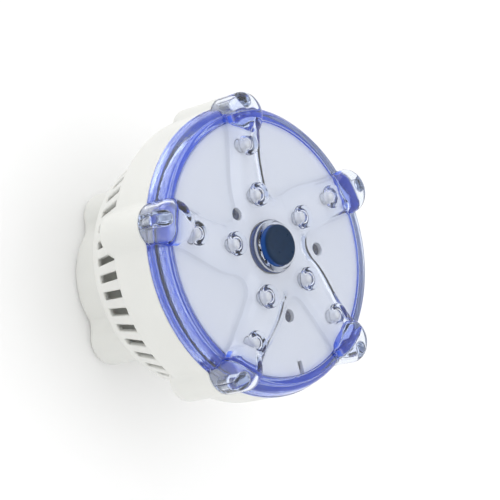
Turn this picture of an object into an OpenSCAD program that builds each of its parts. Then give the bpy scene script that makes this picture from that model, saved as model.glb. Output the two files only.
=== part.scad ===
// Floating chlorine dispenser with a sealed light head.
// The dispenser stands on the flat end of its screw cap: the cap's end is at
// z = 0, the axis is +Z and the lit face looks up. All sizes are millimetres.

/* [Light head] */
// Radius of the flat front face of the clear cover
face_r = 50; // [49:0.5:51]
// Height of the flat front face above the end of the screw cap
face_z = 81.5; // [81:0.1:82]
// Wall thickness of the clear cover
cover_t = 2; // [1.8:0.1:2.2]
// Height of the raised arms above the flat face
arm_h = 1.8; // [1:0.1:2.4]
// Height of the plane where the cover meets the white housing
joint_z = 73; // [72.6:0.1:73.4]
// Outer radius of the white housing ring
ring_r = 56; // [55.6:0.1:56.4]

/* [Screw lobes] */
// Distance of the lobe centres from the axis
lobe_c = 51.2; // [51:0.1:51.5]
// Radius of each lobe
lobe_r = 8.8; // [8.6:0.1:9]
// Direction of the first lobe in degrees
lobe_a = 86.5; // [84:0.5:89]
// Distance of the cover screws from the axis
screw_c = 56.2; // [56.1:0.1:56.3]

/* [Lights] */
// Distance of the outer lights from the axis
led_out = 40; // [39:0.5:41]
// Distance of the inner lights from the axis
led_in = 20.5; // [20:0.5:21]
// Lead of the inner lights over the outer ones in degrees
led_lead = 4.3; // [2:0.1:6]
// Outer radius of each clear lens boss
boss_r = 4.5; // [4.2:0.1:4.7]
// Height of the top of the lens bosses
boss_z = 85; // [84.8:0.1:85.4]

/* [Push button] */
// Radius of the push button
button_r = 7.92; // [7.9:0.01:7.95]
// Height of the top of the push button
button_z = 86.7; // [86.5:0.1:87]
// Travel of the push button
button_travel = 1.2; // [0.8:0.1:1.2]

/* [Tablet chamber] */
// Radius of the slotted drum where it leaves the housing
drum_r1 = 52.8; // [52.4:0.1:52.8]
// Radius of the slotted drum behind the slots
drum_r2 = 46.7; // [46:0.1:47]
// Number of slots round the drum
slot_n = 45; // [30:1:45]
// Width of one slot
slot_w = 3; // [2:0.1:3.2]
// Height of the lower end of the slots
slot_z1 = 35; // [34.5:0.1:36]
// Height of the upper end of the slots
slot_z2 = 53.3; // [52:0.1:53.3]
// Radius of the loading hole in the drum
load_r = 24; // [23.9:0.1:24.2]

/* [Screw cap] */
// Radius of the screw cap between its lobes
cap_r = 30; // [29:0.5:31]
// Distance of the grip lobe centres from the axis
cap_lobe_c = 28.5; // [28:0.5:29]
// Radius of each grip lobe
cap_lobe_r = 10; // [9:0.5:10.5]
// Direction of the first grip lobe in degrees
cap_lobe_a = 104; // [90:1:118]

/* [Hidden] */

inner_z = face_z - cover_t;      // underside of the cover's face
bulk_z0 = 57.6;                  // wet side of the bulkhead
bulk_z1 = 60.6;                  // dry side of the bulkhead
tray_z = 61.8;                   // top of the tray's base plate
cell_z = 67.35;                  // axis height of the cells
cell_y = [25.5, 4.4, -17];       // the three cells lie side by side along X
board_z0 = 73.2;
board_z1 = 74.8;
refl_z0 = 77.3;
refl_z1 = 78.8;
drum_z = 30;                     // end wall of the drum
cap_z = drum_z - 0.3;            // top of the cap's shoulder
spigot_r = load_r - 0.4;
spigot_z = 37.7;
e = 0.02;
// the three screws that hold the reflector, as [radius, direction]
posts = [[19.2, 127.5], [27, 272.5], [26.8, 347.5]];

function arc(cx, cy, r, a0, a1, n = 8) =
    [for (i = [0:n]) let (a = a0 + (a1 - a0) * i / n) [cx + r * cos(a), cy + r * sin(a)]];

module at(r, a) { rotate([0, 0, a]) translate([r, 0, 0]) children(); }
module tube(ro, ri, z0, z1, fn = 96) {
    translate([0, 0, z0]) difference() {
        cylinder(r = ro, h = z1 - z0, $fn = fn);
        translate([0, 0, -1]) cylinder(r = ri, h = z1 - z0 + 2, $fn = fn);
    }
}
module rod(r, z0, z1, fn = 48) { translate([0, 0, z0]) cylinder(r = r, h = z1 - z0, $fn = fn); }
module lights(z = 0) {
    for (k = [0:4]) {
        at(led_out, 90 + 72 * k) children();
        at(led_in, 90 + led_lead + 72 * k) children();
    }
}
module lobes() { for (k = [0:4]) at(lobe_c, lobe_a + 72 * k) children(); }
module screws() { for (k = [0:4]) at(screw_c, lobe_a + 72 * k) children(); }
module drum_fix() { for (a = [30, 150, 270]) at(46.5, a) children(); }

// a wound wire as one closed tube: r0 and r1 are the end radii, n the turns
module coil(r0, r1, h, n, wire, sides = 8, steps = 14) {
    m = round(n * steps);
    pts = [for (i = [0:m]) let (u = i / m, a = 360 * n * u, r = r0 + (r1 - r0) * u)
        for (j = [0:sides - 1]) let (b = 360 * j / sides)
            [(r + wire / 2 * cos(b)) * cos(a), (r + wire / 2 * cos(b)) * sin(a),
             wire / 2 + (h - wire) * u + wire / 2 * sin(b)]];
    side = [for (i = [0:m - 1]) for (j = [0:sides - 1]) let (k = (j + 1) % sides)
        [i * sides + j, (i + 1) * sides + j, (i + 1) * sides + k, i * sides + k]];
    polyhedron(points = pts, faces = concat(side,
        [[for (j = [0:sides - 1]) j]], [[for (j = [0:sides - 1]) m * sides + sides - 1 - j]]));
}

// ---------------------------------------------------------------- light head
module arm_2d() {
    polygon([[4, -9], [22, -7.7], [47, -6.3], [52, -9], [52, 5], [46, 10], [42, 10.7],
             [30, 12.3], [20, 12.5], [4, 12]]);
}
module front_cover() color([0.45, 0.58, 0.95, 0.45]) difference() {
    union() {
        rotate_extrude($fn = 120) polygon([[0, inner_z - 2], [0, face_z], [face_r + 0.6, face_z],
            [face_r + 4.3, face_z - 2.1], [face_r + 5.1, face_z - 3.4], [56.2, joint_z],
            [56.2, joint_z - 2], [48, joint_z - 2], [48, inner_z - 2]]);
        lobes() rotate_extrude($fn = 64) polygon([[0, joint_z - 1.5], [0, face_z + 4.9], [lobe_r - 4.4, face_z + 4.9],
            [lobe_r - 2.2, face_z + 4.1], [lobe_r, face_z + 1.9], [lobe_r, joint_z - 1.5]]);
        // the arms rise towards the lobes
        difference() {
            for (k = [0:4]) rotate([0, 0, 90 + 72 * k]) translate([0, 0, face_z - 0.5])
                linear_extrude(5.3) arm_2d();
            rotate_extrude($fn = 120) polygon([[0, face_z + 8], [0, face_z + arm_h], [34, face_z + arm_h],
                [47, face_z + 4], [70, face_z + 4.4], [70, face_z + 8]]);
        }
        rod(19, face_z - 0.5, face_z + arm_h, 96);
        lights() rod(boss_r, face_z - 0.5, boss_z);
        rod(9.8, face_z, 84, 64);
    }
    // the straight dry space behind the face
    rod(face_r, joint_z - 1, inner_z, 120);
    // the hollow of each lobe, open towards the housing, round its screw post
    for (k = [0:4]) difference() {
        at(lobe_c, lobe_a + 72 * k) rod(lobe_r - 1.9, joint_z - 1, face_z + 1.6, 64);
        rod(face_r + 1.9, joint_z - 2, face_z + 3, 120);
        at(screw_c, lobe_a + 72 * k) rod(2.7, joint_z - 2, face_z + 3, 32);
    }
    translate([-80, -80, joint_z - 5]) cube([160, 160, 5]);
    lights() rod(3.2, inner_z - 1, boss_z - 1.2);
    rod(8, inner_z - 1, 90, 64);
    tube(9.25, 7, 80, 81.3, 64);
    screws() rod(1.5, joint_z - 1, 78.4);
}
module cover_gasket() color("#dfe2e4") tube(54.3, 53.3, joint_z - 1.1, joint_z, 120);
module cover_screws() color("#b9bcc0") screws() {
    difference() {
        rod(2.5, 62.2, 64.2);
        for (a = [0, 90]) rotate([0, 0, a]) translate([-1.4, -0.35, 61]) cube([2.8, 0.7, 2.2]);
    }
    rod(1.45, 64.2, 77.8);
}
module button_cap() color("#17305a") difference() {
    union() {
        rotate_extrude($fn = 96) polygon(concat([[0, 78], [0, button_z]],
            arc(button_r - 0.8, button_z - 0.8, 0.8, 90, 0, 5), [[button_r, 78]]));
        rod(9.4, 77.9, 79.2, 64);
    }
    difference() {
        rod(6.4, 77, button_z - 2, 64);
        rod(2, 79.6, button_z, 32);
    }
}
module button_seal() color("#dfe2e4")
    rotate_extrude($fn = 96) translate([8.62, 80.65]) circle(r = 0.6, $fn = 24);
module button_spring() color("#c9ccd0") translate([0, 0, board_z1]) coil(5.4, 5.4, 9.9, 5, 0.7);
module tact_switch() {
    color("#222428") translate([-3, -3, board_z1]) cube([6, 6, 3.1]);
    color("#d8d2c0") rod(1.75, board_z1 + 3.1, 78.3, 32);
}
module reflector_plate() color("#eef1f5") {
    difference() {
        union() {
            rod(49.3, refl_z0, refl_z1, 120);
            tube(49.3, 47.9, joint_z + 0.4, refl_z1 - 0.5, 120);
        }
        rod(10.2, refl_z0 - 1, refl_z1 + 1, 64);
        lights() rod(2.75, refl_z0 - 1, refl_z1 + 1);
        for (p = posts) at(p[0], p[1]) rod(2.6, refl_z0 - 1, refl_z1 + 1);
        rotate([0, 0, 270]) translate([44.5, -1.2, refl_z0 - 5]) cube([8, 2.4, 8]);
    }
    for (p = posts) at(p[0], p[1]) difference() {
        rod(3.8, board_z1, refl_z0 + e);
        rod(1.3, board_z1 - 1, refl_z1);
        rod(2.6, 75.9, refl_z1);
    }
}
module reflector_screws() color("#a8adb5") for (p = posts) at(p[0], p[1]) {
    difference() {
        rod(2.4, 75.9, 77.2, 32);
        for (a = [0, 90]) rotate([0, 0, a]) translate([-1.4, -0.35, 76.5]) cube([2.8, 0.7, 2]);
    }
    rod(1.1, 66, 75.9, 32);
}
module leds() color([0.92, 0.95, 1, 0.8]) lights() {
    rod(2.9, board_z1, board_z1 + 1, 32);
    rod(2.5, board_z1 + 1, board_z1 + 6.1, 32);
    translate([0, 0, board_z1 + 6.1]) intersection() {
        sphere(r = 2.5, $fn = 32);
        rod(3, 0, 3, 32);
    }
}
module led_board() color("#e4e8e6") difference() {
    rod(46, board_z0, board_z1, 120);
    for (p = posts) at(p[0], p[1]) rod(1.4, board_z0 - 1, board_z1 + 1, 32);
    translate([31, 4.4, board_z0 - 1]) cylinder(r = 0.9, h = 4, $fn = 24);
    translate([-31, 25.5, board_z0 - 1]) cylinder(r = 0.9, h = 4, $fn = 24);
}
module board_chips() color("#2a2c30") {
    translate([-34, -12, board_z1]) cube([6, 5, 1.4]);
    for (i = [0:4]) rotate([0, 0, 54 + 72 * i]) translate([31, -0.8, board_z1]) cube([3.2, 1.6, 0.6]);
}

// ---------------------------------------------------------------- battery pack
module cell_rows() { for (y = cell_y) translate([0, y, 0]) children(); }
module battery_tray() color("#d9dadb") difference() {
    union() {
        rod(42.5, bulk_z1 + e, tray_z, 96);
        for (p = posts) at(p[0], p[1]) rod(3.3, tray_z - e, board_z0, 32);
        cell_rows() difference() {
            union() {
                for (x = [-14, 12.5]) translate([x, -6, tray_z - e]) cube([1.5, 12, 4.6]);
                for (x = [-29.4, 27.4]) translate([x, -5.9, tray_z - e]) cube([2, 11.8, 9.6]);
            }
            translate([-26, 0, cell_z]) rotate([0, 90, 0]) cylinder(r = 5.45, h = 52, $fn = 48);
        }
    }
    for (p = posts) at(p[0], p[1]) rod(1.2, 65, board_z0 + 1, 32);
    for (x = [-35.5, 35.5]) translate([x, 0, 0]) rod(1.35, bulk_z1 - 1, tray_z + 1, 32);
}
module tray_screws() color("#a8adb5") for (x = [-35.5, 35.5]) translate([x, 0, 0]) {
    difference() {
        rod(2.3, tray_z, tray_z + 1.6, 32);
        for (a = [0, 90]) rotate([0, 0, a]) translate([-1.3, -0.3, tray_z + 0.8]) cube([2.6, 0.6, 2]);
    }
    rod(1.1, 58.9, tray_z, 32);
}
module batteries() color("#4a7a3e") for (i = [0:2]) translate([0, cell_y[i], cell_z])
    rotate([0, i == 1 ? -90 : 90, 0]) {
        translate([0, 0, -22]) cylinder(r = 5.25, h = 43.3, $fn = 48);
        translate([0, 0, 21.2]) cylinder(r = 1.9, h = 1.1, $fn = 32);
    }
module battery_springs() color("#c9ccd0") for (i = [0:2]) translate([i == 1 ? 22.1 : -22.1, cell_y[i], cell_z])
    rotate([0, i == 1 ? 90 : -90, 0]) coil(2.2, 4.2, 4.5, 3, 0.6, 8, 12);
module battery_contacts() color("#c9ccd0") cell_rows()
    for (x = [-27.3, 26.8]) translate([x, -4.6, tray_z + 0.6]) cube([0.5, 9.2, 8.8]);
module lead(x, y, s) {
    translate([x, y, 70]) rod(0.6, 0, board_z0 + 0.8 - 70, 24);
    translate([x, y, 70]) sphere(r = 0.6, $fn = 24);
    translate([x, y, 70]) rotate([0, -s * 90, 0]) cylinder(r = 0.6, h = 1.5, $fn = 24);
}
module battery_lead_red() color("#c02525") lead(31, cell_y[1], 1);
module battery_lead_black() color("#1b1c1e") lead(-31, cell_y[0], -1);

// ---------------------------------------------------------------- housing and chamber
module main_housing() color("#eceee9") difference() {
    union() {
        difference() {
            union() {
                rotate_extrude($fn = 120) polygon([[49, joint_z + 2], [ring_r, joint_z + 2], [ring_r, 56],
                    [ring_r - 0.8, 54.2], [ring_r - 2.2, 53.5], [49, 53.5]]);
                lobes() rod(lobe_r, 52, joint_z + 1.5, 64);
                lobes() translate([0, 0, 51.2]) cylinder(r1 = lobe_r - 0.8, r2 = lobe_r, h = 0.8, $fn = 64);
            }
            rod(52.6, bulk_z1 + 0.3, 71.2, 120);
            // the seat for the cover's wall
            rod(50.1, 71, joint_z + 3, 120);
            rod(53.1, 50, bulk_z0 + 0.3, 120);
            translate([-80, -80, joint_z]) cube([160, 160, 5]);
        }
        rod(52.8, bulk_z0, bulk_z1, 120);
        drum_fix() rod(3.4, bulk_z1 - 1, 65.5, 32);
    }
    rod(53.1, 50, bulk_z0, 120);
    tube(54.4, 53.2, joint_z - 1.2, joint_z + 1, 120);
    screws() rod(2.75, 50, 64.2, 48);
    screws() rod(1.6, 60, joint_z + 1, 48);
    drum_fix() rod(1.5, 50, 64, 32);
    for (x = [-35.5, 35.5]) translate([x, 0, 0]) rod(1.15, 58.8, bulk_z1 + 1, 32);
}
module slotted_drum() color("#e9ebe6") difference() {
    union() {
        rotate_extrude($fn = 120) polygon(concat(
            [[42, bulk_z0], [drum_r1, bulk_z0], [drum_r1, 53.9], [drum_r2, 35.2], [drum_r2 - 0.4, 33.2]],
            arc(drum_r2 - 3.6, 33.2, 3.2, 0, -84, 6),
            [[drum_r2 - 3.6, drum_z], [load_r, drum_z], [load_r, 38], [load_r + 2.2, 38],
             [load_r + 2.2, drum_z + 2.4], [drum_r2 - 4.2, drum_z + 2.4], [drum_r2 - 2.6, 34.2],
             [drum_r2 - 2.3, 35.6], [drum_r1 - 2.3, 54], [drum_r1 - 2.3, 55.1], [42, 55.1]]));
    }
    for (k = [0:slot_n - 1]) rotate([0, 0, 270 + 360 / slot_n * k])
        translate([42.5, -slot_w / 2, slot_z1]) cube([14, slot_w, slot_z2 - slot_z1]);
    drum_fix() rod(1.6, 54, bulk_z0 + 1, 32);
}
module drum_screws() color("#b9bcc0") drum_fix() {
    difference() {
        rod(2.7, 53.1, 55.1, 32);
        for (a = [0, 90]) rotate([0, 0, a]) translate([-1.4, -0.35, 52]) cube([2.8, 0.7, 2.1]);
    }
    rod(1.4, 55.1, 63.2, 32);
}
module cap_gasket() color("#3a3d42") tube(28, 24.8, 28.75, drum_z - 0.05, 96);
module rear_cap() color("#eceee9") difference() {
    union() {
        rod(cap_r, 3.2, cap_z, 120);
        cylinder(r1 = cap_r - 2.4, r2 = cap_r, h = 3.2, $fn = 120);
        for (k = [0:2]) at(cap_lobe_c, cap_lobe_a + 120 * k) {
            rod(cap_lobe_r, 3.4, cap_z - 0.6, 64);
            cylinder(r1 = cap_lobe_r - 2.5, r2 = cap_lobe_r, h = 3.4, $fn = 64);
        }
        rod(spigot_r, cap_z - 1, spigot_z, 96);
    }
    rod(21.4, 3, spigot_z + 1, 96);
    tube(28.2, 24.6, 28.7, cap_z + 1, 96);
}

front_cover();
cover_gasket();
cover_screws();
button_cap();
button_seal();
button_spring();
tact_switch();
reflector_plate();
reflector_screws();
leds();
led_board();
board_chips();
battery_tray();
tray_screws();
batteries();
battery_springs();
battery_contacts();
battery_lead_red();
battery_lead_black();
main_housing();
slotted_drum();
drum_screws();
cap_gasket();
rear_cap();
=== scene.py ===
import bpy, math
import numpy as np
from mathutils import Matrix, Vector


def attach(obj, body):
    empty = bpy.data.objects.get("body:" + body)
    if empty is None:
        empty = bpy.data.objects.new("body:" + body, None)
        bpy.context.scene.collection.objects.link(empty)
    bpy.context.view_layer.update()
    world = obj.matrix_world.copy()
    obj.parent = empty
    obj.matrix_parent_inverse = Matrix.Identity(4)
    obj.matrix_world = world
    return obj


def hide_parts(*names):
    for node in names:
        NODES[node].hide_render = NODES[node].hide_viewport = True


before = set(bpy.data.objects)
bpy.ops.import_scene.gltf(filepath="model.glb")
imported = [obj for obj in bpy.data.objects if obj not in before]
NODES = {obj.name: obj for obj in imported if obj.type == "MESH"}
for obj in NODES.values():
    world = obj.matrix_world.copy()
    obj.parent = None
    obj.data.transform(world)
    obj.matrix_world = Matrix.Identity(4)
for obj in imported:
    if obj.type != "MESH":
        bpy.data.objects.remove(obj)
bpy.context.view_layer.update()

sc = bpy.context.scene
f32 = np.float32

# ------------------------------------------------------------------ camera
R = np.array([[-0.26157529, -0.66556010, 0.69900509],
              [-0.96500166, 0.19438133, -0.17603325],
              [-0.01871283, -0.72058702, -0.69311196]])
T = np.array([0.16363498, -0.02361355, 15.11050966])
RZ = np.array([[0, 1, 0], [-1, 0, 0], [0, 0, 1.0]])
RM = R @ RZ
LOC = 0.05 * (-RM.T @ T) + np.array([0, 0, 0.0815])
RIGHT, UP, BACK = RM[0], -RM[1], -RM[2]
cam = bpy.data.objects.new("camera", bpy.data.cameras.new("camera"))
sc.collection.objects.link(cam)
m = Matrix.Identity(4)
for i in range(3):
    m[i][0], m[i][1], m[i][2], m[i][3] = RIGHT[i], UP[i], BACK[i], LOC[i]
cam.matrix_world = m
cam.data.lens, cam.data.sensor_width = 144.0, 36.0
cam.data.clip_start, cam.data.clip_end = 0.01, 20
sc.camera = cam


# ------------------------------------------------------------------ solids from distance functions (mm)
def rmax(a, b, r):
    return np.minimum(-r, np.maximum(a, b)) + np.hypot(np.maximum(r + a, 0), np.maximum(r + b, 0))


def rmin(a, b, r):
    return -rmax(-a, -b, r)


def S(t):
    t = np.clip(t, 0, 1)
    return t * t * (3 - 2 * t)


def fold(x, y, n, a0):
    """(along, across) in the frame of the nearest of n equal directions, the first at a0 degrees"""
    a = np.arctan2(y, x) - math.radians(a0)
    p = 2 * math.pi / n
    a = a - p * np.round(a / p)
    r = np.hypot(x, y)
    return r * np.cos(a), r * np.sin(a)


def turn(x, y, a):
    c, s = math.cos(math.radians(a)), math.sin(math.radians(a))
    return c * x + s * y, -s * x + c * y


def poly2(px, py, pts):
    """signed distance to a closed polygon"""
    d = np.full(px.shape, 1e9)
    inside = np.zeros(px.shape, bool)
    n = len(pts)
    for i in range(n):
        ax, ay = pts[i]
        bx, by = pts[(i + 1) % n]
        ex, ey = bx - ax, by - ay
        wx, wy = px - ax, py - ay
        t = np.clip((wx * ex + wy * ey) / (ex * ex + ey * ey), 0, 1)
        d = np.minimum(d, (wx - ex * t) ** 2 + (wy - ey * t) ** 2)
        c = (ay > py) != (by > py)
        with np.errstate(divide="ignore", invalid="ignore"):
            inside ^= c & (px < (bx - ax) * (py - ay) / ((by - ay) if by != ay else 1e-9) + ax)
    d = np.sqrt(d)
    return np.where(inside, -d, d)


def field_mesh(name, f, lo, hi, h, slack=1.6, passes=2):
    lo, hi = np.array(lo, float), np.array(hi, float)
    n = np.ceil((hi - lo) / h).astype(int) + 1
    B = 8
    nb = -(-n // B)
    bi = np.stack(np.meshgrid(*[np.arange(k) for k in nb], indexing="ij"), -1).reshape(-1, 3)
    c = lo + h * (bi * B + (B - 1) / 2)
    v = f(c[:, 0], c[:, 1], c[:, 2])
    F = np.ones(nb * B, f32)
    half = h * B * 0.5 * math.sqrt(3) * slack
    near = np.abs(v) < half
    o = np.stack(np.meshgrid(*[np.arange(B)] * 3, indexing="ij"), -1).reshape(-1, 3)
    for b in bi[(v <= -half)]:
        F[b[0] * B:b[0] * B + B, b[1] * B:b[1] * B + B, b[2] * B:b[2] * B + B] = -1
    act = bi[near]
    for s in range(0, len(act), 1500):
        q = (act[s:s + 1500, None, :] * B + o[None]).reshape(-1, 3)
        p = lo + h * q
        F[q[:, 0], q[:, 1], q[:, 2]] = f(p[:, 0], p[:, 1], p[:, 2])
    F = F[:n[0], :n[1], :n[2]]
    F[F == 0] = 1e-6
    I = F < 0
    cnt = np.zeros(np.array(I.shape) - 1, np.int8)
    offs = [(a, b2, c2) for a in (0, 1) for b2 in (0, 1) for c2 in (0, 1)]
    for a, b2, c2 in offs:
        cnt += I[a:a + cnt.shape[0], b2:b2 + cnt.shape[1], c2:c2 + cnt.shape[2]]
    A = (cnt > 0) & (cnt < 8)
    idx = np.argwhere(A)
    vid = np.full(A.shape, -1, np.int64)
    vid[A] = np.arange(len(idx))
    acc, num = np.zeros((len(idx), 3)), np.zeros(len(idx))
    V = {t: F[idx[:, 0] + t[0], idx[:, 1] + t[1], idx[:, 2] + t[2]] for t in offs}
    for a in offs:
        for ax in range(3):
            if a[ax]:
                continue
            b = tuple(1 if k == ax else a[k] for k in range(3))
            va, vb = V[a], V[b]
            x = (va < 0) != (vb < 0)
            t = np.where(x, va / np.where(x, va - vb, 1), 0)
            p = np.tile(np.array(a, float), (len(idx), 1))
            p[:, ax] = t
            acc[x] += p[x]
            num[x] += 1
    P = lo + h * (idx + acc / num[:, None])
    quads = []
    for ax in range(3):
        b, c = (ax + 1) % 3, (ax + 2) % 3
        s0, s1 = [slice(None)] * 3, [slice(None)] * 3
        s0[ax], s1[ax] = slice(0, -1), slice(1, None)
        D = I[tuple(s0)] != I[tuple(s1)]
        e = np.argwhere(D)
        e = e[(e[:, b] > 0) & (e[:, c] > 0) & (e[:, b] < A.shape[b]) & (e[:, c] < A.shape[c])]
        cs = []
        for db, dc in ((-1, -1), (0, -1), (0, 0), (-1, 0)):
            q = e.copy()
            q[:, b] += db
            q[:, c] += dc
            cs.append(vid[q[:, 0], q[:, 1], q[:, 2]])
        Q = np.stack(cs, 1)
        up = I[e[:, 0], e[:, 1], e[:, 2]]
        Q[~up] = Q[~up][:, ::-1]
        quads.append(Q)
    Q = np.concatenate(quads)
    e = 0.03
    for _ in range(passes):
        x, y, z = P.T
        v = f(x, y, z)
        g = np.stack([f(x + e, y, z) - f(x - e, y, z), f(x, y + e, z) - f(x, y - e, z), f(x, y, z + e) - f(x, y, z - e)], 1) / (2 * e)
        g2 = np.maximum((g * g).sum(1), 0.25)
        st = -(v / g2)[:, None] * g
        ln = np.linalg.norm(st, axis=1)
        st *= np.minimum(1, 0.45 * h / np.maximum(ln, 1e-9))[:, None]
        P = P + st
    me = bpy.data.meshes.new(name)
    me.vertices.add(len(P))
    me.vertices.foreach_set("co", (P * 0.001).astype(f32).ravel())
    me.loops.add(len(Q) * 4)
    me.loops.foreach_set("vertex_index", Q.astype(np.int32).ravel())
    me.polygons.add(len(Q))
    me.polygons.foreach_set("loop_start", np.arange(0, len(Q) * 4, 4, dtype=np.int32))
    me.polygons.foreach_set("loop_total", np.full(len(Q), 4, np.int32))
    me.polygons.foreach_set("use_smooth", np.ones(len(Q), bool))
    me.update()
    me.validate()
    ob = bpy.data.objects.new(name, me)
    sc.collection.objects.link(ob)
    print("made", name, len(P), len(Q))
    return ob


# ------------------------------------------------------------------ materials
def material(name, base, rough=0.4, **kw):
    mt = bpy.data.materials.new(name)
    mt.use_nodes = True
    nt = mt.node_tree
    p = nt.nodes["Principled BSDF"]
    p.inputs["Base Color"].default_value = (*base, 1)
    p.inputs["Roughness"].default_value = rough
    for k, v in kw.items():
        p.inputs[k.replace("_", " ")].default_value = v
    return mt, nt, p


def N(nt, kind, **kw):
    n = nt.nodes.new(kind)
    for k, v in kw.items():
        if k.startswith("i_"):
            n.inputs[k[2:].replace("_", " ")].default_value = v
        else:
            setattr(n, k, v)
    return n


def coords(nt, scale=1.0):
    tc = N(nt, "ShaderNodeTexCoord")
    mp = N(nt, "ShaderNodeMapping")
    mp.inputs["Scale"].default_value = (scale, scale, scale)
    nt.links.new(tc.outputs["Object"], mp.inputs["Vector"])
    return mp.outputs["Vector"]


def noise(nt, vec, scale, detail=3.0, rough=0.5):
    n = N(nt, "ShaderNodeTexNoise")
    n.inputs["Scale"].default_value = scale
    n.inputs["Detail"].default_value = detail
    n.inputs["Roughness"].default_value = rough
    nt.links.new(vec, n.inputs["Vector"])
    return n.outputs["Fac"]


def ramp(nt, fac, a, b, ca, cb):
    r = N(nt, "ShaderNodeMapRange")
    r.inputs["From Min"].default_value = a
    r.inputs["From Max"].default_value = b
    r.inputs["To Min"].default_value = ca
    r.inputs["To Max"].default_value = cb
    nt.links.new(fac, r.inputs["Value"])
    return r.outputs["Result"]


def mixc(nt, fac, a, b):
    n = N(nt, "ShaderNodeMix", data_type="RGBA")
    n.inputs["A"].default_value = (*a, 1)
    n.inputs["B"].default_value = (*b, 1)
    nt.links.new(fac, n.inputs["Factor"])
    return n.outputs["Result"]


def bump(nt, p, fac, dist, strength=0.3):
    b = N(nt, "ShaderNodeBump")
    b.inputs["Distance"].default_value = dist
    b.inputs["Strength"].default_value = strength
    nt.links.new(fac, b.inputs["Height"])
    nt.links.new(b.outputs["Normal"], p.inputs["Normal"])


def white_plastic(name="white_plastic", a=(0.72, 0.725, 0.695), b=(0.665, 0.67, 0.645)):
    mt, nt, p = material(name, a, 0.36, Specular_IOR_Level=0.5, IOR=1.5)
    p.inputs["Subsurface Weight"].default_value = 0.12
    p.inputs["Subsurface Radius"].default_value = (1.0, 0.9, 0.8)
    p.inputs["Subsurface Scale"].default_value = 0.0015
    v = coords(nt)
    n1, n2 = noise(nt, v, 28, 4), noise(nt, v, 2600, 2)
    nt.links.new(mixc(nt, ramp(nt, n1, 0.3, 0.75, 0, 1), a, b), p.inputs["Base Color"])
    nt.links.new(ramp(nt, noise(nt, v, 90, 4), 0.3, 0.7, 0.30, 0.44), p.inputs["Roughness"])
    bump(nt, p, n2, 0.00003, 0.25)
    return mt


def clear_plastic(name, sigma, ior=1.56, rough=0.03):
    """clear moulded plastic: sigma is the absorption per metre in red, green and blue"""
    mt, nt, p = material(name, (1, 1, 1), rough, Transmission_Weight=1.0, IOR=ior)
    v = coords(nt)
    nt.links.new(ramp(nt, noise(nt, v, 60, 3), 0.35, 0.75, rough * 0.6, rough * 1.6), p.inputs["Roughness"])
    bump(nt, p, noise(nt, v, 55, 3), 0.0004, 0.05)
    ab = N(nt, "ShaderNodeVolumeAbsorption")
    dens = max(sigma) / 0.98
    ab.inputs["Density"].default_value = dens
    ab.inputs["Color"].default_value = (1 - sigma[0] / dens, 1 - sigma[1] / dens, 1 - sigma[2] / dens, 1)
    out = nt.nodes["Material Output"]
    nt.links.new(ab.outputs["Volume"], out.inputs["Volume"])
    lp, tr, mx = N(nt, "ShaderNodeLightPath"), N(nt, "ShaderNodeBsdfTransparent"), N(nt, "ShaderNodeMixShader")
    tr.inputs["Color"].default_value = (0.975, 0.98, 0.985, 1)
    nt.links.new(lp.outputs["Is Shadow Ray"], mx.inputs["Fac"])
    nt.links.new(p.outputs["BSDF"], mx.inputs[1])
    nt.links.new(tr.outputs["BSDF"], mx.inputs[2])
    nt.links.new(mx.outputs["Shader"], out.inputs["Surface"])
    return mt


MAT = {}
MAT["white"] = white_plastic()
MAT["cover"] = clear_plastic("clear_blue_cover", (34.0, 23.0, 1.0))


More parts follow.
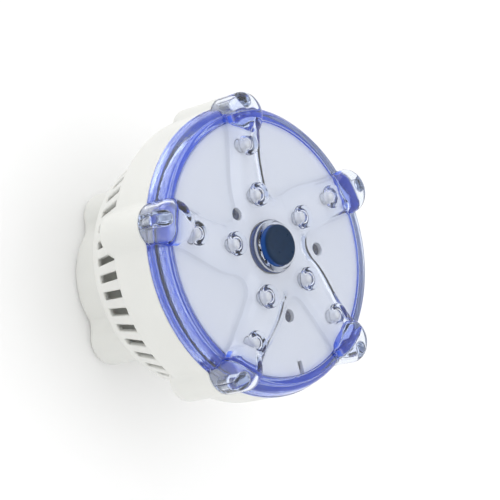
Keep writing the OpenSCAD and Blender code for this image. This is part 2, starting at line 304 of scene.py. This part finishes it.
def paint_wall_piped_light(mt):
    """painted light: the straight side walls hold light that has run a long way in the tinted plastic, so they read
    deeper blue; that blue is painted into the colour of the inner wall face and the wall's underside, with less
    transmission there
    """
    nt = mt.node_tree
    p = nt.nodes["Principled BSDF"]
    tc, sx = N(nt, "ShaderNodeTexCoord"), N(nt, "ShaderNodeSeparateXYZ")
    nt.links.new(tc.outputs["Object"], sx.inputs["Vector"])
    ln = N(nt, "ShaderNodeVectorMath", operation="LENGTH")
    cb = N(nt, "ShaderNodeCombineXYZ")
    nt.links.new(sx.outputs["X"], cb.inputs["X"])
    nt.links.new(sx.outputs["Y"], cb.inputs["Y"])
    nt.links.new(cb.outputs["Vector"], ln.inputs[0])
    r = ln.outputs["Value"]
    ins = ramp(nt, r, 0.0489, 0.0494, 0, 1)
    out = ramp(nt, r, 0.0519, 0.0523, 1, 0)
    z = sx.outputs["Z"]
    low = ramp(nt, z, 0.0858, 0.0864, 1, 0)
    wall = ramp(nt, z, 0.0738, 0.0756, 0, 1)
    m0 = N(nt, "ShaderNodeMath", operation="MULTIPLY")
    nt.links.new(low, m0.inputs[0])
    nt.links.new(wall, m0.inputs[1])
    m1, m2 = N(nt, "ShaderNodeMath", operation="MULTIPLY"), N(nt, "ShaderNodeMath", operation="MULTIPLY")
    nt.links.new(ins, m1.inputs[0])
    nt.links.new(out, m1.inputs[1])
    nt.links.new(m1.outputs["Value"], m2.inputs[0])
    nt.links.new(m0.outputs["Value"], m2.inputs[1])
    # only the inner face of the wall, which looks towards the axis or down, not the top of the cover
    geo, up = N(nt, "ShaderNodeNewGeometry"), N(nt, "ShaderNodeSeparateXYZ")
    nt.links.new(geo.outputs["Normal"], up.inputs["Vector"])
    flat = ramp(nt, up.outputs["Z"], 0.35, 0.6, 1, 0)
    m3 = N(nt, "ShaderNodeMath", operation="MULTIPLY")
    nt.links.new(m2.outputs["Value"], m3.inputs[0])
    nt.links.new(flat, m3.inputs[1])
    # and the matt underside of the wall, where it sits on the housing, which gets the same painted blue
    foot, inner = ramp(nt, z, 0.07315, 0.0734, 1, 0), ramp(nt, r, 0.0526, 0.0532, 1, 0)
    m4, m5 = N(nt, "ShaderNodeMath", operation="MULTIPLY"), N(nt, "ShaderNodeMath", operation="MAXIMUM")
    nt.links.new(foot, m4.inputs[0])
    nt.links.new(inner, m4.inputs[1])
    nt.links.new(m3.outputs["Value"], m5.inputs[0])
    nt.links.new(m4.outputs["Value"], m5.inputs[1])
    # painted light: the masked faces get a deep blue base colour and lower transmission, standing in for light piped
    # through the tinted plastic
    nt.links.new(mixc(nt, m5.outputs["Value"], (1, 1, 1), (0.10, 0.215, 0.98)), p.inputs["Base Color"])
    nt.links.new(ramp(nt, m5.outputs["Value"], 0, 1, 1.0, 0.42), p.inputs["Transmission Weight"])


paint_wall_piped_light(MAT["cover"])


def led_mat():
    """milky epoxy of a diffused white LED"""
    mt, nt, p = material("led_epoxy", (0.88, 0.90, 0.94), 0.12, IOR=1.5, Transmission_Weight=0.15)
    v = coords(nt)
    nt.links.new(mixc(nt, noise(nt, v, 500, 2), (0.93, 0.94, 0.97), (0.97, 0.975, 0.99)), p.inputs["Base Color"])
    nt.links.new(ramp(nt, noise(nt, v, 300, 3), 0.3, 0.7, 0.08, 0.2), p.inputs["Roughness"])
    bump(nt, p, noise(nt, v, 2500, 2), 0.00003, 0.1)
    return mt


MAT["led"] = led_mat()


def button_mat():
    mt, nt, p = material("button_blue", (0.008, 0.03, 0.075), 0.32, IOR=1.5, Specular_IOR_Level=0.16)
    p.inputs["Subsurface Weight"].default_value = 0.3
    p.inputs["Subsurface Radius"].default_value = (0.1, 0.35, 1.0)
    p.inputs["Subsurface Scale"].default_value = 0.002
    v = coords(nt)
    sx = N(nt, "ShaderNodeSeparateXYZ")
    nt.links.new(v, sx.inputs["Vector"])
    # painted light: the side of the button is painted a brighter blue than its dark top, a lit and a shaded copy of the
    # one blue plastic
    painted_top_shade_mask = ramp(nt, sx.outputs["Z"], 0.0853, 0.0863, 0, 1)
    top = mixc(nt, noise(nt, v, 400, 3), (0.004, 0.016, 0.042), (0.008, 0.028, 0.072))
    mx = N(nt, "ShaderNodeMix", data_type="RGBA")
    mx.inputs["A"].default_value = (0.015, 0.075, 0.30, 1)
    nt.links.new(top, mx.inputs["B"])
    nt.links.new(painted_top_shade_mask, mx.inputs["Factor"])
    nt.links.new(mx.outputs["Result"], p.inputs["Base Color"])
    nt.links.new(ramp(nt, noise(nt, v, 300, 4), 0.3, 0.7, 0.26, 0.42), p.inputs["Roughness"])
    bump(nt, p, noise(nt, v, 5000, 2), 0.00002, 0.3)
    return mt


def reflector_mat():
    mt, nt, p = material("reflector_white", (0.84, 0.87, 0.90), 0.3, IOR=1.5)
    v = coords(nt)
    nt.links.new(mixc(nt, ramp(nt, noise(nt, v, 18, 3), 0.3, 0.7, 0, 1), (0.945, 0.945, 0.95), (0.91, 0.91, 0.92)), p.inputs["Base Color"])
    nt.links.new(ramp(nt, noise(nt, v, 120, 3), 0.3, 0.7, 0.28, 0.45), p.inputs["Roughness"])
    bump(nt, p, noise(nt, v, 1500, 2), 0.00003, 0.2)
    return mt


def plain(name, a, b, rough=(0.35, 0.6), metal=0.0, scale=200, bd=0.00003, **kw):
    mt, nt, p = material(name, a, rough[0], Metallic=metal, **kw)
    v = coords(nt)
    nt.links.new(mixc(nt, noise(nt, v, scale, 4), a, b), p.inputs["Base Color"])
    nt.links.new(ramp(nt, noise(nt, v, scale * 2.3, 4), 0.3, 0.7, rough[0], rough[1]), p.inputs["Roughness"])
    bump(nt, p, noise(nt, v, scale * 9, 2), bd, 0.3)
    return mt


def board_mat():
    """white solder mask with the faint relief of the tracks under it"""
    mt, nt, p = material("circuit_board", (0.78, 0.80, 0.79), 0.3)
    v = coords(nt)
    br = N(nt, "ShaderNodeTexBrick")
    br.inputs["Scale"].default_value = 260
    br.inputs["Color1"].default_value = (0.80, 0.82, 0.81, 1)
    br.inputs["Color2"].default_value = (0.76, 0.78, 0.77, 1)
    br.inputs["Mortar"].default_value = (0.70, 0.73, 0.71, 1)
    br.inputs["Mortar Size"].default_value = 0.03
    nt.links.new(v, br.inputs["Vector"])
    nt.links.new(br.outputs["Color"], p.inputs["Base Color"])
    nt.links.new(ramp(nt, noise(nt, v, 300, 3), 0.3, 0.7, 0.22, 0.4), p.inputs["Roughness"])
    bump(nt, p, br.outputs["Fac"], 0.00004, 0.3)
    return mt


MAT["button"] = button_mat()
MAT["reflector"] = reflector_mat()
MAT["rubber"] = plain("seal_rubber", (0.03, 0.031, 0.034), (0.05, 0.051, 0.055), (0.5, 0.75), 0, 400)
MAT["silicone"] = plain("silicone_white", (0.74, 0.75, 0.76), (0.68, 0.69, 0.70), (0.45, 0.65), 0, 400)
# dark blue-grey metal for the reflector screws, which sit at the bottom of their recesses
MAT["dark_steel"] = plain("dark_blue_grey_steel", (0.03, 0.045, 0.10), (0.06, 0.08, 0.16), (0.25, 0.42), 1.0, 500)
MAT["steel"] = plain("stainless", (0.50, 0.51, 0.53), (0.62, 0.63, 0.65), (0.22, 0.4), 1.0, 500)
MAT["spring"] = plain("spring_steel", (0.55, 0.56, 0.58), (0.68, 0.69, 0.71), (0.18, 0.32), 1.0, 700)
MAT["black"] = plain("black_plastic", (0.02, 0.02, 0.022), (0.035, 0.035, 0.038), (0.35, 0.55), 0, 500)
MAT["tray"] = plain("tray_plastic", (0.60, 0.61, 0.62), (0.68, 0.69, 0.70), (0.4, 0.55), 0, 150)
MAT["cell"] = plain("battery_wrap", (0.05, 0.17, 0.045), (0.065, 0.21, 0.055), (0.2, 0.34), 0.3, 120)
MAT["red"] = plain("red_insulation", (0.42, 0.015, 0.015), (0.52, 0.025, 0.02), (0.4, 0.55), 0, 600)
MAT["board"] = board_mat()


def give(ob, mt):
    ob.data.materials.clear()
    ob.data.materials.append(mt)


for n, k in {"cover_gasket": "silicone", "cover_screws": "steel", "button_seal": "silicone", "button_spring": "spring",
             "tact_switch": "black", "reflector_plate": "reflector", "reflector_screws": "dark_steel", "leds": "led",
             "led_board": "board", "board_chips": "black", "battery_tray": "tray", "tray_screws": "steel",
             "batteries": "cell", "battery_springs": "spring", "battery_contacts": "spring",
             "battery_lead_red": "red", "battery_lead_black": "black", "drum_screws": "steel",
             "cap_gasket": "rubber", "main_housing": "white", "slotted_drum": "white", "rear_cap": "white",
             "front_cover": "cover", "button_cap": "button"}.items():
    o = NODES[n]
    for s in o.material_slots:
        s.material = MAT[k]
    if not o.material_slots:
        o.data.materials.append(MAT[k])

# ------------------------------------------------------------------ clear cover
LOBE_A = 86.4
K = 5


def star(x, y):
    """distance to the outline of the five swirled arms, negative inside"""
    out = np.hypot(x, y) - 12.0
    for k in range(K):
        v, u = turn(x, y, 90 + 72 * k)
        c = 3.2 - 6.2 * S((v - 20) / 34)
        w = 10.2 - 1.7 * S((v - 22) / 26)
        d = rmax(np.abs(u - c) - w, v - 52.5, 2.0)
        d = np.maximum(d, -v)
        out = rmin(out, d, 8.0)
    return out


def ridge(x, y, inset=0.0):
    """height of the arms above the face, rounded at their sides and rising to the lobes"""
    r = np.hypot(x, y)
    t = np.clip(-(star(x, y) + inset) / 8.0, 0, 1)
    h = 1.8 + 3.0 * S((r - 33) / 18)
    return h * (1 - (1 - t) ** 2.3) * (1 if not inset else 0.97)


def lens_d(x, y):
    v, u = fold(x, y, 5, 90)
    d1 = np.hypot(v - 40, u)
    v, u = fold(x, y, 5, 94.3)
    return np.minimum(d1, np.hypot(v - 20.5, u))


def cover_f(x, y, z):
    r = np.hypot(x, y)
    slant = (z - 81.5) * 0.869 + (r - 50.6) * 0.494
    side = (r - 56.2) * 0.973 + (z - 73) * 0.232
    out = rmax(rmax(z - 81.5, slant, 1.2), side, 1.2)
    out = np.minimum(out, rmax(r - 56.3, z - 74.0, 0.4))
    st = star(x, y)
    out = rmin(out, rmax((z - 81.5 - ridge(x, y)) * 0.8, r - 52.6, 0.6), 0.3)
    lv, lu = fold(x, y, 5, LOBE_A)
    lobe = np.hypot(lv - 51.2, lu)
    out = rmin(out, rmax(lobe - 8.75, z - 86.35, 4.2), 0.5)
    ld = lens_d(x, y)
    out = rmin(out, rmax(ld - 4.5, z - 85.0, 0.6), 0.12)
    out = rmin(out, rmax(r - 9.8, z - 84.0, 0.7), 0.5)
    # the dry space behind the face, which follows the arms, with a straight side wall
    zin = (z - 79.5 - ridge(x, y, 1.7)) * 0.8
    out = rmax(out, -rmax(zin, r - 50.0, 0.35), 0.2)
    # the hollow of each lobe, round its screw post
    post = np.hypot(lv - 56.2, lu)
    well = rmax(rmax(lobe - 7.1, z - 84.4, 3.0), 52.0 - r, 0.5)
    well = rmax(well, 2.6 - post, 0.4)
    out = rmax(out, -well, 0.2)
    out = np.maximum(out, -np.maximum(post - 1.5, z - 78.4))
    out = np.maximum(out, -rmax(ld - 3.2, z - 83.8, 2.0))
    out = rmax(out, 8.0 - r, 0.25)
    out = np.maximum(out, -np.maximum(r - 9.25, np.maximum(80 - z, z - 81.3)))
    return rmax(out, 73.05 - z, 0.15)


H = 0.5
cover = field_mesh("front_cover_shell", cover_f, (-61.5, -61.5, 72), (61.5, 61.5, 87.6), H, slack=2.2)
give(cover, MAT["cover"])
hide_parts("front_cover")
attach(cover, "head")


# ------------------------------------------------------------------ white housing
def housing_f(x, y, z):
    r = np.hypot(x, y)
    ring = rmax(rmax(r - 56, 53.5 - z, 2.4), z - 73, 0.3)
    lv, lu = fold(x, y, 5, LOBE_A)
    lobe = np.hypot(lv - 51.2, lu)
    out = rmin(ring, rmax(rmax(lobe - 8.8, 51.2 - z, 1.3), z - 73, 0.3), 1.2)
    out = np.minimum(out, np.maximum(np.maximum(50.1 - r, r - 53.2), np.maximum(71.2 - z, z - 73)))
    out = np.maximum(out, -rmax(rmax(r - 52.6, 60.6 - z, 0.8), z - 71.2, 0.2))
    out = np.maximum(out, -np.maximum(r - 50.1, 60.6 - z))
    out = np.maximum(out, -np.maximum(r - 53.1, z - 57.6))
    out = np.maximum(out, -np.maximum(np.abs(r - 53.8) - 0.6, 71.8 - z))
    post = np.hypot(fold(x, y, 5, LOBE_A)[0] - 56.2, fold(x, y, 5, LOBE_A)[1])
    out = np.maximum(out, -np.maximum(post - 2.75, z - 64.2))
    out = np.maximum(out, 1.6 - post)
    bv, bu = fold(x, y, 3, 30)
    bd = np.hypot(bv - 46.5, bu)
    out = rmin(out, rmax(bd - 3.4, np.abs(z - 62.5) - 3.0, 0.4), 0.4)
    out = np.maximum(out, -np.maximum(bd - 1.5, z - 64))
    for sx in (-35.5, 35.5):
        out = np.maximum(out, -np.maximum(np.hypot(x - sx, y) - 1.15, 58.8 - z))
    return np.maximum(out, z - 72.96)


housing = field_mesh("main_housing_shell", housing_f, (-61.5, -61.5, 50.4), (61.5, 61.5, 74), 0.6)
give(housing, MAT["white"])
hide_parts("main_housing")
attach(housing, "head")

# ------------------------------------------------------------------ slotted drum
DRUM = [(42, 57.6), (52.8, 57.6), (52.8, 53.9), (46.7, 35.2), (46.3, 33.2)]
DRUM += [(43.1 + 3.2 * math.cos(math.radians(a)), 33.2 + 3.2 * math.sin(math.radians(a))) for a in range(-10, -91, -10)]
DRUM += [(24, 30), (24, 38), (26.2, 38), (26.2, 32.4), (42.5, 32.4), (44.1, 34.2), (44.4, 35.6), (50.5, 54), (50.5, 55.1), (42, 55.1)]


def drum_f(x, y, z):
    r = np.hypot(x, y)
    out = poly2(r, z, DRUM)
    v, u = fold(x, y, 45, 270)
    slot = rmax(np.abs(u) - 1.5, np.abs(z - 44.15) - 9.15, 0.6)
    slot = np.maximum(slot, 42.5 - r)
    out = rmax(out, -slot, 0.35)
    bv, bu = fold(x, y, 3, 30)
    return np.maximum(out, -np.maximum(np.hypot(bv - 46.5, bu) - 1.6, 54 - z))


drum = field_mesh("slotted_drum_shell", drum_f, (-54, -54, 29), (54, 54, 58.6), 0.55)
give(drum, MAT["white"])
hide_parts("slotted_drum")
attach(drum, "head")


# ------------------------------------------------------------------ screw cap
def cap_f(x, y, z):
    r = np.hypot(x, y)
    v, u = fold(x, y, 3, 104)
    side = rmin(r - 30, np.hypot(v - 28.5, u) - 10, 3.0)
    out = rmax(rmax(side, -z, 3.5), z - 29.7, 0.8)
    th = np.abs(((z / 4 + np.arctan2(y, x) / (2 * math.pi)) % 1) - 0.5) * 4
    sp = r - 23.55 - 0.3 * S((th - 1.0) / 0.6) * (z > 29.7) * (z < 37.0)
    out = np.minimum(out, np.maximum(rmax(sp * 0.9, z - 37.7, 0.4), 20 - z))
    out = rmax(out, -rmax(r - 21.4, 3.0 - z, 2.0), 0.4)
    return np.maximum(out, -np.maximum(np.abs(r - 26.4) - 1.8, 28.7 - z))


cap = field_mesh("rear_cap_shell", cap_f, (-41, -41, -1), (41, 41, 38.8), 0.55)
give(cap, MAT["white"])
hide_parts("rear_cap")
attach(cap, "cap")


# ------------------------------------------------------------------ push button
def button_f(x, y, z):
    r = np.hypot(x, y)
    top = 86.7 - 0.25 * (1 - np.clip(r / 6.5, 0, 1) ** 2)
    out = rmax(r - 7.9, z - top, 0.9)
    out = np.minimum(out, rmax(r - 9.4, z - 79.2, 0.2))
    out = np.maximum(out, 77.9 - z)
    hol = np.maximum(rmax(r - 6.4, z - 84.82, 0.4), -(np.maximum(r - 2.0, 79.6 - z)))
    return np.maximum(out, -hol)


button = field_mesh("button_cap_shell", button_f, (-10, -10, 77), (10, 10, 87.5), 0.22)
give(button, MAT["button"])
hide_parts("button_cap")
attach(button, "button")

# ------------------------------------------------------------------ floor and light
me = bpy.data.meshes.new("floor")
me.from_pydata([(-6, -6, 0), (6, -6, 0), (6, 6, 0), (-6, 6, 0)], [], [(0, 1, 2, 3)])
floor = bpy.data.objects.new("floor", me)
sc.collection.objects.link(floor)
fm, nt, p = material("floor_pale", (0.90, 0.90, 0.90), 0.6)
nt.links.new(mixc(nt, noise(nt, coords(nt), 3, 2), (0.89, 0.89, 0.89), (0.92, 0.92, 0.92)), p.inputs["Base Color"])
give(floor, fm)

w = bpy.data.worlds.new("studio")
w.use_nodes = True
w.node_tree.nodes["Background"].inputs["Color"].default_value = (1, 1, 1, 1)
w.node_tree.nodes["Background"].inputs["Strength"].default_value = 1.13
sc.view_settings.view_transform = "Standard"
sc.world = w
CEN = np.array([0, 0, 0.055])


def area(name, direction, dist, size, power, sy=None):
    d = np.array(direction, float)
    d /= np.linalg.norm(d)
    li = bpy.data.lights.new(name, "AREA")
    li.energy, li.size, li.shape = power, size, "RECTANGLE"
    li.size_y = sy or size
    ob = bpy.data.objects.new(name, li)
    ob.location = Vector(CEN + d * dist)
    ob.rotation_mode = "QUATERNION"
    ob.rotation_quaternion = Vector(d).to_track_quat("Z", "Y")
    sc.collection.objects.link(ob)
    return ob


area("key", UP * 1.0 + BACK * 0.35 - RIGHT * 0.1, 1.0, 0.6, 1.5)
area("fill", BACK * 1.0 + RIGHT * 1.2 + UP * 0.3, 1.2, 0.8, 1)
